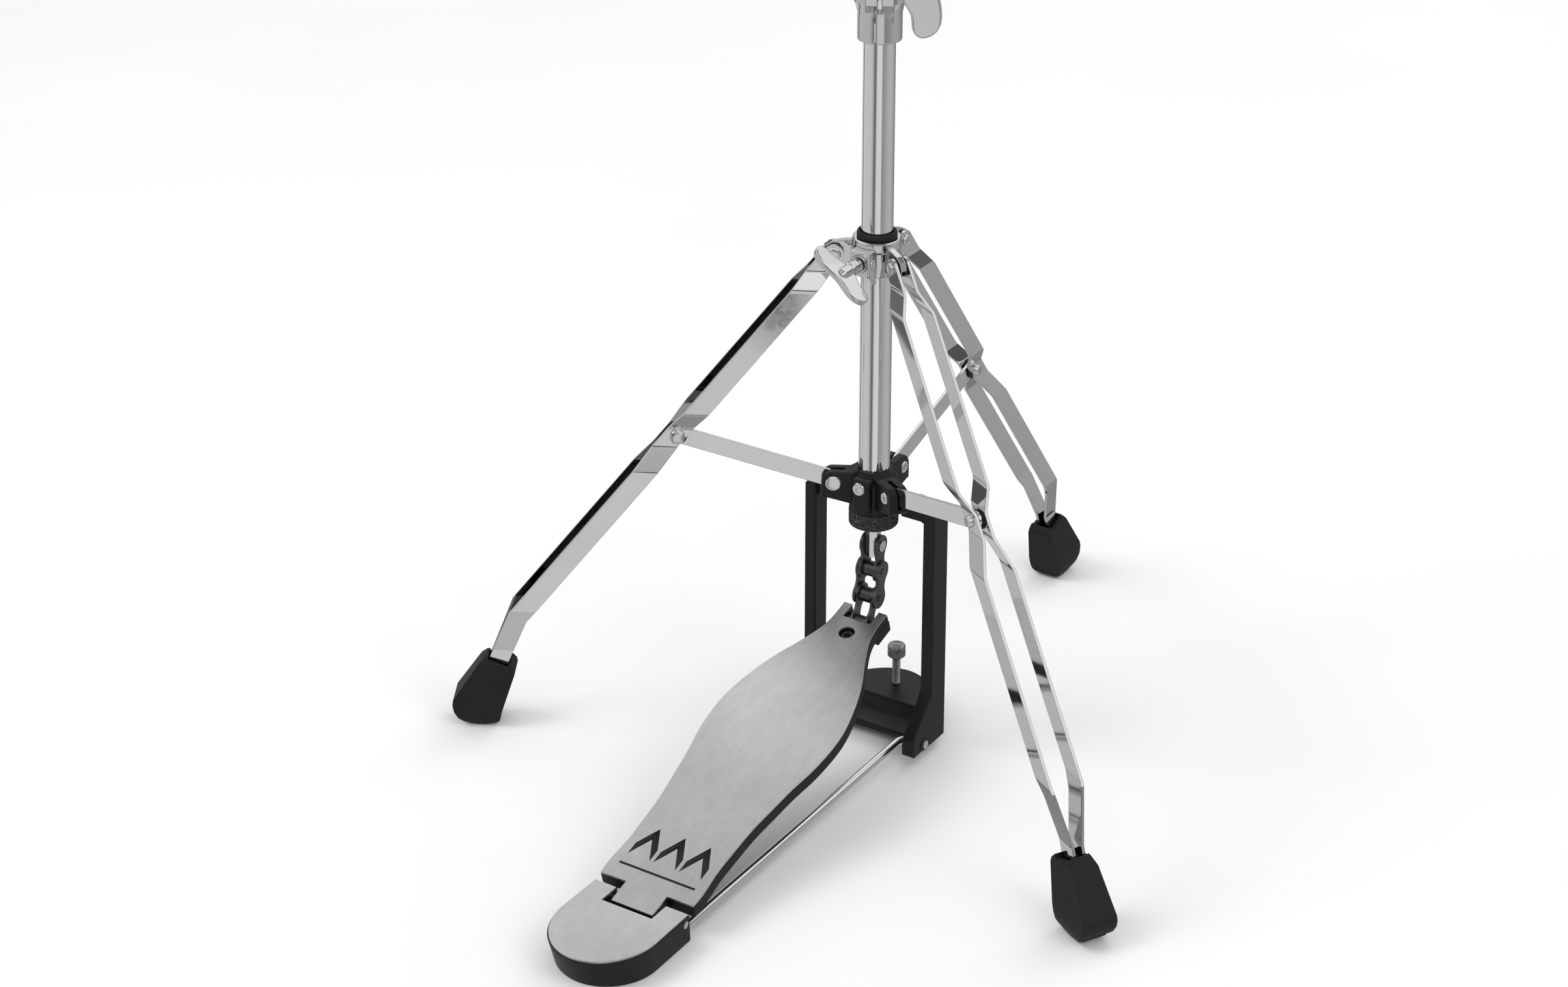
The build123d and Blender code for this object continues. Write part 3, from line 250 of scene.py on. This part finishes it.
def zinc():
    k = Mat("zinc_knurled")
    k.set(Metallic=0.95)
    a = k.noise(120, 4, 0.6)
    k.color(k.mix(k.remap(a, 0.0, 1.0, 0.35, 0.68), (0.20, 0.195, 0.185), (0.42, 0.41, 0.39)))
    k.rough(k.remap(a, 0.24, 0.40, 0.3, 0.7))
    k.bump(k.noise(900, 3, 0.6), 0.10, 0.0003, 0.0002)
    return k.m


def brushed(name, slope, origin):
    """Brushed steel: fine grain along the part's length, soft clouds and a few thin scratches."""
    k = Mat(name)
    k.set(Metallic=1.0)
    shift = k.n.new("ShaderNodeVectorMath")
    shift.operation = "SUBTRACT"
    k.link(k.coord.outputs["Object"], shift.inputs[0])
    shift.inputs[1].default_value = origin
    flat = k.mapping((1, 1, 1), (-math.radians(slope), 0, 0), shift.outputs[0])
    sep = k.n.new("ShaderNodeSeparateXYZ")
    k.link(flat, sep.inputs[0])
    hair = k.noise(1.0, 5, 0.66, k.mapping((3400, 150, 1500), (0, 0, 0), flat))
    streak = k.noise(1.0, 4, 0.6, k.mapping((900, 26, 400), (0, 0, 0), flat))
    cloud = k.noise(1.0, 3, 0.5, k.mapping((14, 11, 8), (0, 0, 0), flat), 0.5)
    mott = k.noise(1.0, 5, 0.62, k.mapping((95, 70, 40), (0, 0, 0), flat), 0.3)
    scr = k.noise(1.0, 1, 0.4, k.mapping((260, 9, 60), (0, 0, math.radians(9)), flat))
    tone = k.math("ADD", k.remap(hair, -0.085, 0.085, 0.3, 0.7), k.remap(streak, -0.040, 0.040, 0.3, 0.7))
    tone = k.math("ADD", tone, k.remap(cloud, -0.055, 0.065, 0.3, 0.7))
    tone = k.math("ADD", tone, k.remap(mott, -0.035, 0.035, 0.3, 0.7))
    tone = k.math("ADD", tone, k.remap(scr, 0.0, 0.06, 0.735, 0.76))
    # painted reflection: the plate's colour darkens towards the toe as painted shade and lightens across the middle as
    # a painted highlight band
    along = k.ramp(k.remap(sep.outputs["Y"], 0.0, 1.0, 0.0, 0.30),
                   [(0.0, (0.64,) * 3), (0.30, (0.72,) * 3), (0.52, (0.86,) * 3), (0.66, (0.80,) * 3), (0.80, (0.60,) * 3), (0.95, (0.46,) * 3)], "EASE")
    tone = k.math("ADD", tone, along)
    comb = k.n.new("ShaderNodeCombineColor")
    k.link(tone, comb.inputs[0])
    k.link(k.math("MULTIPLY", tone, 1.0), comb.inputs[1])
    k.link(k.math("MULTIPLY", tone, 0.992), comb.inputs[2])
    k.color(comb.outputs["Color"])
    k.rough(k.math("ADD", k.remap(streak, 0.34, 0.42, 0.3, 0.7), k.remap(cloud, -0.03, 0.03, 0.3, 0.7)))
    k.b.inputs["Anisotropic"].default_value = 0.5
    tan = k.n.new("ShaderNodeTangent")
    tan.direction_type = "RADIAL"
    tan.axis = "X"
    k.link(tan.outputs["Tangent"], k.b.inputs["Tangent"])
    k.bump(k.math("ADD", hair, k.math("MULTIPLY", streak, 0.6)), 0.045, 0.0002, 0.0003)
    return k


def foam_mat():
    k = Mat("grey_foam")
    cell = k.voronoi(980)
    big = k.noise(760, 4, 0.7)
    fac = k.math("MULTIPLY", k.remap(cell, 1.0, 0.0, 0.10, 0.62), k.remap(big, 0.45, 1.15, 0.38, 0.62))
    k.color(k.ramp(fac, [(0.0, (0.014, 0.014, 0.014)), (0.30, (0.032, 0.032, 0.033)), (0.55, (0.062, 0.062, 0.064)), (0.85, (0.15, 0.15, 0.154)), (1.0, (0.24, 0.24, 0.24))]))
    k.set(Roughness=0.86)
    k.bump(k.math("ADD", cell, big), 0.8, 0.0006, 0.0003)
    return k.m


def felt_mat():
    k = Mat("felt")
    f = k.noise(420, 8, 0.75, None, 1.2)
    c = k.noise(45, 4, 0.6)
    k.color(k.mix(k.remap(f, 0.0, 1.0, 0.35, 0.68), (0.42, 0.40, 0.37), (0.72, 0.70, 0.66)))
    k.set(Roughness=0.93, Sheen_Weight=0.5, Sheen_Roughness=0.45)
    k.bump(k.math("ADD", f, c), 0.7, 0.0007, 0.0005)
    return k.m


M["chain_steel"] = chain_steel()
M["zinc_knurled"] = zinc()
kb = brushed("brushed_board", 15.513, (0, -0.2817, 0.0241))
M["brushed_plate"] = kb.m
M["brushed_heel"] = brushed("brushed_heel", 0.0, (0, -0.37, 0.0217)).m
M["grey_foam"] = foam_mat()
M["felt"] = felt_mat()

slot_of = {s["node"]: s["material_slot"] for s in frame["record"]["subparts"]}
for name, o in N.items():
    o.data.materials.clear()
    o.data.materials.append(M["brushed_heel"] if name == "heel_cover" else M.get(name, M[slot_of[name]]))



# ------------------------------------------------------------------ pieces in mesh code
body_by_node = {n: b for b, nodes in frame["record"]["behaviour"]["bodies"].items() for n in nodes}


def body_of(node):
    return body_by_node[node]


def add_piece(name, bm, body, mat, replaced=(), sharp=35):
    bmesh.ops.remove_doubles(bm, verts=bm.verts, dist=1e-7)
    bmesh.ops.recalc_face_normals(bm, faces=bm.faces)
    for f in bm.faces:
        f.smooth = True
    for e in bm.edges:
        if len(e.link_faces) == 2 and e.calc_face_angle(0) > math.radians(sharp):
            e.smooth = False
    me = bpy.data.meshes.new(name)
    bm.to_mesh(me)
    bm.free()
    me.materials.append(mat)
    o = bpy.data.objects.new(name, me)
    scene.collection.objects.link(o)
    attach(o, body)
    if replaced:
        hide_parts(*replaced)
    return o


def turned(profile, centre, seg, shape=None):
    """Closed body of revolution about a vertical axis. profile is a list of (radius, height) in millimetres from the axis at the bottom
    to the axis at the top, or a closed loop for a ring. shape(angle, radius, height, index) returns a radius and a height."""
    bm = bmesh.new()
    ring = profile[0][0] > 1e-6
    rows = []
    for i, (r, z) in enumerate(profile):
        if r < 1e-6:
            rows.append([bm.verts.new(((centre[0]) * MM, (centre[1]) * MM, z * MM))])
            continue
        row = []
        for k in range(seg):
            a = 2 * math.pi * k / seg
            rr, zz = (r, z) if shape is None else shape(a, r, z, i)
            row.append(bm.verts.new(((centre[0] + rr * math.cos(a)) * MM, (centre[1] + rr * math.sin(a)) * MM, zz * MM)))
        rows.append(row)
    n = len(rows)
    for i in range(n if ring else n - 1):
        a, b = rows[i], rows[(i + 1) % n]
        for k in range(seg):
            q = (k + 1) % seg
            if len(a) == 1:
                bm.faces.new((a[0], b[q], b[k]))
            elif len(b) == 1:
                bm.faces.new((a[k], a[q], b[0]))
            else:
                bm.faces.new((a[k], a[q], b[q], b[k]))
    return bm


def dense(points, step):
    """The polyline with extra points so that no stretch is longer than step."""
    out = []
    for (r0, z0), (r1, z1) in zip(points[:-1], points[1:]):
        m = max(1, int(math.ceil(math.hypot(r1 - r0, z1 - z0) / step)))
        out += [(r0 + (r1 - r0) * k / m, z0 + (z1 - z0) * k / m) for k in range(m)]
    return out + [points[-1]]


# spur screw: diamond-knurled head with a shallow dish, M6 thread, point
def knurl(a, r, z, z0, z1, base, depth, count, lead):
    t = min(1.0, max(0.0, min(z - z0, z1 - z) / 0.5))
    u, v = math.sin(count * a + lead * z), math.sin(count * a - lead * z)
    return base - depth * t * (1 - max(abs(u), abs(v))) * 1.7


def spur_shape(a, r, z, i):
    if 8.2 < z < 40.6 and r > 2.2:
        ph = (z / 1.0 - a / (2 * math.pi)) % 1.0
        tri = abs(2 * ph - 1)
        fade = min(1.0, (z - 8.2) / 1.2, (40.6 - z) / 1.0)
        return 2.98 - 0.52 * fade * (1 - tri), z
    if 42.0 < z < 48.9 and r > 6.2:
        return knurl(a, r, z, 42.2, 48.7, 6.5, 0.42, 17, 2.35), z
    return r, z


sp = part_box("spur_screw")
prof = [(0, 1.0), (0.6, 1.3), (2.95, 7.6)] + dense([(2.98, 8.2), (2.98, 40.6)], 0.125) + [(3.4, 41.1), (5.6, 41.3), (6.1, 41.6), (6.4, 42.1)]
prof += dense([(6.5, 42.2), (6.5, 48.7)], 0.22) + [(6.35, 49.2), (6.0, 49.9), (5.5, 50.35), (4.9, 50.6), (4.2, 50.7), (3.6, 50.45), (3.0, 50.1), (0, 50.0)]
add_piece("spur_screw_knurled", turned(prof, (0, 35.0), 136, spur_shape), "spur", M["zinc_knurled"], ("spur_screw",), 50)

# tilter screw: knurled head under the seat cup, plain shank
def tilt_shape(a, r, z, i):
    if 727.0 < z < 733.0 and r > 4.7:
        return knurl(a, r, z, 727.0, 733.0, 5.0, 0.3, 14, 2.6), z
    if 734.6 < z < 745.0 and 1.5 < r < 2.2:
        ph = (z / 0.7 - a / (2 * math.pi)) % 1.0
        return 2.0 - 0.3 * (1 - abs(2 * ph - 1)), z
    return r, z


prof = [(0, 726.5), (4.3, 726.5), (4.75, 726.7)] + dense([(5.0, 727.0), (5.0, 733.0)], 0.25) + [(4.7, 733.4), (4.4, 733.6), (2.0, 733.6)]
prof += dense([(2.0, 734.0), (2.0, 751.4)], 0.12) + [(1.8, 751.6), (0, 751.6)]
add_piece("tilter_screw_knurled", turned(prof, (18.6, 0), 112, tilt_shape), "tilter", M["zinc_knurled"], ("tilter_screw",), 50)


def fuzzy(depth, freq, freq2):
    def shape(a, r, z, i):
        p = Vector((r * math.cos(a), r * math.sin(a), z)) * freq
        q = Vector((r * math.cos(a), r * math.sin(a), z)) * freq2
        d = depth * (0.6 * noise.noise(p) + 0.4 * noise.noise(q)) - depth * 0.5
        return r + d, z
    return shape


def ring_profile(ri, ro, z0, z1, rnd, step):
    pts = [(ri, z0 + 0.3), (ri, z1 - 0.3), (ri + 0.3, z1), (ro - rnd, z1)]
    for k in range(1, 5):
        a = math.pi / 2 * k / 4
        pts.append((ro - rnd + rnd * math.sin(a), z1 - rnd + rnd * math.cos(a)))
    pts.append((ro, z0 + rnd))
    for k in range(1, 5):
        a = math.pi / 2 * k / 4
        pts.append((ro - rnd + rnd * math.cos(a), z0 + rnd - rnd * math.sin(a)))
    pts += [(ri + 0.3, z0), (ri, z0 + 0.3)]
    return dense(pts, step)[:-1]


def foam_shape(a, r, z, i):
    # open cells: the face dips in small pits and swells gently round the ring
    p = Vector((r * math.cos(a), r * math.sin(a), z))
    pit = min(1.0, noise.voronoi(p * 1.05)[0][0] * 1.6)
    slow = noise.noise(p * 0.16)
    f = 1.0 if 7.2 < r else 0.0
    return r - f * (0.42 * (1 - pit) + 0.12 + 0.16 * slow), z


add_piece("foam_ring", turned(ring_profile(6.7, 17.6, 163.4, 175.0, 0.9, 0.55), (0, 0), 300, foam_shape), "base", M["grey_foam"], ("foam_bumper",), 80)
add_piece("seat_felt_ring", turned(ring_profile(5.4, 21.2, 752.0, 764.8, 1.6, 0.7), (0, 0), 220, fuzzy(0.30, 0.9, 2.6)), body_of("seat_felt"), M["felt"], ("seat_felt",), 80)
for i, z0 in enumerate((862.0, 872.0)):
    o = add_piece("clutch_felt_%d" % (i + 1), turned(ring_profile(6.35, 16.1, z0, z0 + 9.1, 1.3, 0.6), (0, 0), 200, fuzzy(0.26, 0.9, 2.6)), body_of("clutch_felts"),
                  M["felt"], (), 80)
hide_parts("clutch_felts")


# printed mark on the footboard: three chevrons over a thin rule
def board_mark():
    cs, sn = math.cos(math.radians(15.513)), math.sin(math.radians(15.513))

    def P(x, s_, h):
        return Vector((x, -281.7 + s_ * cs - h * sn, 24.1 + s_ * sn + h * cs)) * MM

    bm = bmesh.new()

    def slab(pts):
        top = [bm.verts.new(P(x, s_, 0.035)) for x, s_ in pts]
        bot = [bm.verts.new(P(x, s_, -0.05)) for x, s_ in pts]
        n = len(pts)
        bm.faces.new(top)
        bm.faces.new(list(reversed(bot)))
        for k in range(n):
            bm.faces.new((top[k], bot[k], bot[(k + 1) % n], top[(k + 1) % n]))

    for c in (-20.0, 0.0, 20.0):
        for side in (-1, 1):
            pts = [(c, 47.0), (c + side * 8.6, 30.5), (c + side * 8.6, 20.5), (c, 37.0)]
            slab(pts if side > 0 else list(reversed(pts)))
    slab([(-29.5, 13.2), (29.5, 13.2), (29.5, 11.4), (-29.5, 11.4)])
    return bm


M["print"] = satin_black("print_black", (0.012, 0.012, 0.012), (0.020, 0.020, 0.020), 0.45, 0.6, 1500, 0.08, 0.0001, 0.3)
add_piece("board_mark", board_mark(), "footboard", M["print"], (), 30)


# ------------------------------------------------------------------ stage, light, camera
def world():
    w = bpy.data.worlds.new("studio")
    scene.world = w
    w.use_nodes = True
    t = w.node_tree
    n = t.nodes
    n.clear()
    out = n.new("ShaderNodeOutputWorld")
    co = n.new("ShaderNodeTexCoord")
    sep = n.new("ShaderNodeSeparateXYZ")
    t.links.new(co.outputs["Generated"], sep.inputs[0])
    az = n.new("ShaderNodeMath")
    az.operation = "ARCTAN2"
    t.links.new(sep.outputs["Y"], az.inputs[0])
    t.links.new(sep.outputs["X"], az.inputs[1])
    az01 = n.new("ShaderNodeMapRange")
    az01.inputs["From Min"].default_value = -math.pi
    az01.inputs["From Max"].default_value = math.pi
    t.links.new(az.outputs[0], az01.inputs["Value"])
    # grey flags standing round the set, by azimuth in degrees: what the chrome shows as vertical bands
    def lin(v):
        v = v / 255.0
        return min(1.0, (v / 12.92 if v < 0.04045 else ((v + 0.055) / 1.055) ** 2.4) / 0.93)

    def ramp_of(stops, mode="LINEAR"):
        r = n.new("ShaderNodeValToRGB")
        r.color_ramp.interpolation = mode
        e = r.color_ramp.elements
        while len(e) > 1:
            e.remove(e[-1])
        for i, (q, v) in enumerate(stops):
            x = e[0] if i == 0 else e.new(q)
            x.position = q
            x.color = (v, v, v * 1.004, 1)
        return r

    bands = ramp_of([((a + 180) / 360, lin(v)) for a, v in (
        (-180, 199), (-168, 190), (-150, 189), (-112, 187), (-100, 165), (-90, 104), (-84, 100), (-77, 140), (-71, 203), (-40, 206),
        (-36, 150), (-30, 140), (-18, 146), (0, 160), (14, 168), (30, 172), (46, 166), (62, 160), (76, 140), (88, 122),
        (102, 138), (122, 172), (146, 206), (160, 196), (166, 110), (173, 100), (177, 196), (180, 199))])
    t.links.new(az01.outputs["Result"], bands.inputs["Fac"])
    # height: floor below, flags to a little over the horizon, a dark line above them, then a bright ceiling with a grey zenith
    z01 = n.new("ShaderNodeMapRange")
    z01.inputs["From Min"].default_value = -1
    z01.inputs["From Max"].default_value = 1
    t.links.new(sep.outputs["Z"], z01.inputs["Value"])

    def zpos(deg):
        return (math.sin(math.radians(deg)) + 1) / 2

    elev = ramp_of([(0.0, 0.0), (zpos(-52), 0.0), (zpos(-40), 1.0), (zpos(4), 1.0), (zpos(9), 0.0), (1.0, 0.0)])
    t.links.new(z01.outputs["Result"], elev.inputs["Fac"])
    top = ramp_of([(0.0, 0.30), (zpos(-60), 0.42), (zpos(-48), 0.62), (zpos(0), 0.60), (zpos(7), 0.10), (zpos(15), 0.09), (zpos(21), 0.70),
                   (zpos(36), 0.98), (zpos(54), 0.92), (zpos(64), 0.14), (zpos(76), 0.14), (zpos(81), 0.80), (1.0, 0.85)])
    t.links.new(z01.outputs["Result"], top.inputs["Fac"])
    mix = n.new("ShaderNodeMix")
    mix.data_type = "RGBA"
    t.links.new(elev.outputs["Color"], mix.inputs[0])
    t.links.new(top.outputs["Color"], mix.inputs[6])
    t.links.new(bands.outputs["Color"], mix.inputs[7])
    # the camera and its stand, seen as a small dark patch in faces turned straight at it
    spot_dir = n.new("ShaderNodeCombineXYZ")
    sa, se = math.radians(-62.3), math.radians(-23.6)
    for q, v in enumerate((math.cos(se) * math.cos(sa), math.cos(se) * math.sin(sa), math.sin(se))):
        spot_dir.inputs[q].default_value = v
    norm = n.new("ShaderNodeVectorMath")
    norm.operation = "NORMALIZE"
    t.links.new(co.outputs["Generated"], norm.inputs[0])
    dist = n.new("ShaderNodeVectorMath")
    dist.operation = "DISTANCE"
    t.links.new(norm.outputs[0], dist.inputs[0])
    t.links.new(spot_dir.outputs[0], dist.inputs[1])
    dark = n.new("ShaderNodeMapRange")
    dark.interpolation_type = "SMOOTHSTEP"
    dark.inputs["From Min"].default_value = 0.004
    dark.inputs["From Max"].default_value = 0.013
    dark.inputs["To Min"].default_value = 0.10
    dark.inputs["To Max"].default_value = 1.0
    t.links.new(dist.outputs["Value"], dark.inputs["Value"])
    spot = n.new("ShaderNodeVectorMath")
    spot.operation = "SCALE"
    t.links.new(mix.outputs[2], spot.inputs[0])
    t.links.new(dark.outputs["Result"], spot.inputs["Scale"])
    studio = n.new("ShaderNodeBackground")
    t.links.new(spot.outputs[0], studio.inputs["Color"])
    studio.inputs["Strength"].default_value = 1.0
    soft = n.new("ShaderNodeBackground")
    soft.inputs["Color"].default_value = (0.97, 0.98, 1.0, 1)
    soft.inputs["Strength"].default_value = 0.80
    white = n.new("ShaderNodeBackground")
    white.inputs["Color"].default_value = (1, 1, 1, 1)
    white.inputs["Strength"].default_value = 0.96
    lp = n.new("ShaderNodeLightPath")
    m1 = n.new("ShaderNodeMixShader")
    m2 = n.new("ShaderNodeMixShader")
    t.links.new(lp.outputs["Is Glossy Ray"], m1.inputs[0])
    t.links.new(soft.outputs[0], m1.inputs[1])
    t.links.new(studio.outputs[0], m1.inputs[2])
    t.links.new(lp.outputs["Is Camera Ray"], m2.inputs[0])
    t.links.new(m1.outputs[0], m2.inputs[1])
    t.links.new(white.outputs[0], m2.inputs[2])
    t.links.new(m2.outputs[0], out.inputs["Surface"])


world()

floor_mesh = bpy.data.meshes.new("floor")
bm = bmesh.new()
bmesh.ops.create_circle(bm, cap_ends=True, segments=96, radius=14.0)
bm.to_mesh(floor_mesh)
bm.free()
floor = bpy.data.objects.new("floor", floor_mesh)
scene.collection.objects.link(floor)
floor.location = (0, 0, -0.0002)
kf = Mat("floor")
kf.set(Roughness=0.75)
kf.color(kf.mix(kf.remap(kf.noise(3, 3, 0.5), 0, 1, 0.3, 0.7), (0.905, 0.905, 0.905), (0.925, 0.925, 0.925)))
kf.b.inputs["Specular IOR Level"].default_value = 0.15
clear = kf.n.new("ShaderNodeBsdfTransparent")
path = kf.n.new("ShaderNodeLightPath")
both = kf.n.new("ShaderNodeMixShader")
kf.link(path.outputs["Is Glossy Ray"], both.inputs[0])
kf.link(kf.b.outputs[0], both.inputs[1])
kf.link(clear.outputs[0], both.inputs[2])
kf.link(both.outputs[0], kf.n["Material Output"].inputs["Surface"])
kf.bump(kf.noise(240, 3, 0.5), 0.02, 0.0005, 0.0001)
floor_mesh.materials.append(kf.m)


def area(name, loc, target, size, power, color=(1, 1, 1)):
    l = bpy.data.lights.new(name, "AREA")
    l.shape = "RECTANGLE"
    l.size, l.size_y = size
    l.energy = power
    l.color = color
    o = bpy.data.objects.new(name, l)
    scene.collection.objects.link(o)
    o.location = loc
    o.rotation_mode = "QUATERNION"
    o.rotation_quaternion = (Vector(target) - Vector(loc)).to_track_quat("-Z", "Y")
    o.visible_glossy = False
    return o


area("key", (-1.9, -1.6, 2.6), (0, 0, 0.3), (1.6, 1.6), 34)
area("fill", (2.6, -0.6, 1.9), (0, 0, 0.3), (1.4, 1.8), 16)
area("back", (0.2, 2.6, 2.2), (0, 0, 0.4), (2.0, 1.2), 16)

cam_data = bpy.data.cameras.new("camera")
cam = bpy.data.objects.new("camera", cam_data)
scene.collection.objects.link(cam)
scene.camera = cam
CAM = Vector((1.0367, -1.7602, 1.2150))
right = Vector((0.8418, 0.5399, 0.0019))
up = Vector((-0.1551, 0.2385, 0.9587))
fwd = Vector((-0.5171, 0.8073, -0.2845))
right.normalize()
fwd = (fwd - right * fwd.dot(right)).normalized()
up = right.cross(fwd)
cam.rotation_mode = "QUATERNION"
cam.location = CAM
cam.rotation_quaternion = Matrix((right, up, -fwd)).transposed().to_quaternion()
cam_data.sensor_fit = "HORIZONTAL"
cam_data.sensor_width = 36.0
cam_data.lens = 73.84
cam_data.clip_start, cam_data.clip_end = 0.05, 60
# The lens shift belongs to this camera place only, so it turns itself off when the camera is moved elsewhere.
for attr, value in (("shift_x", 0.01165), ("shift_y", -0.3711)):
    d = cam_data.driver_add(attr).driver
    v = d.variables.new()
    v.name = "y"
    v.type = "TRANSFORMS"
    v.targets[0].id = cam
    v.targets[0].transform_type = "LOC_Y"
    v.targets[0].transform_space = "WORLD_SPACE"
    d.expression = "%.5f if abs(y + 1.7602) < 0.001 else 0.0" % value

scene.view_settings.view_transform = "Standard"
scene.view_settings.look = "None"
scene.view_settings.exposure = 0.0
scene.view_settings.gamma = 1.0
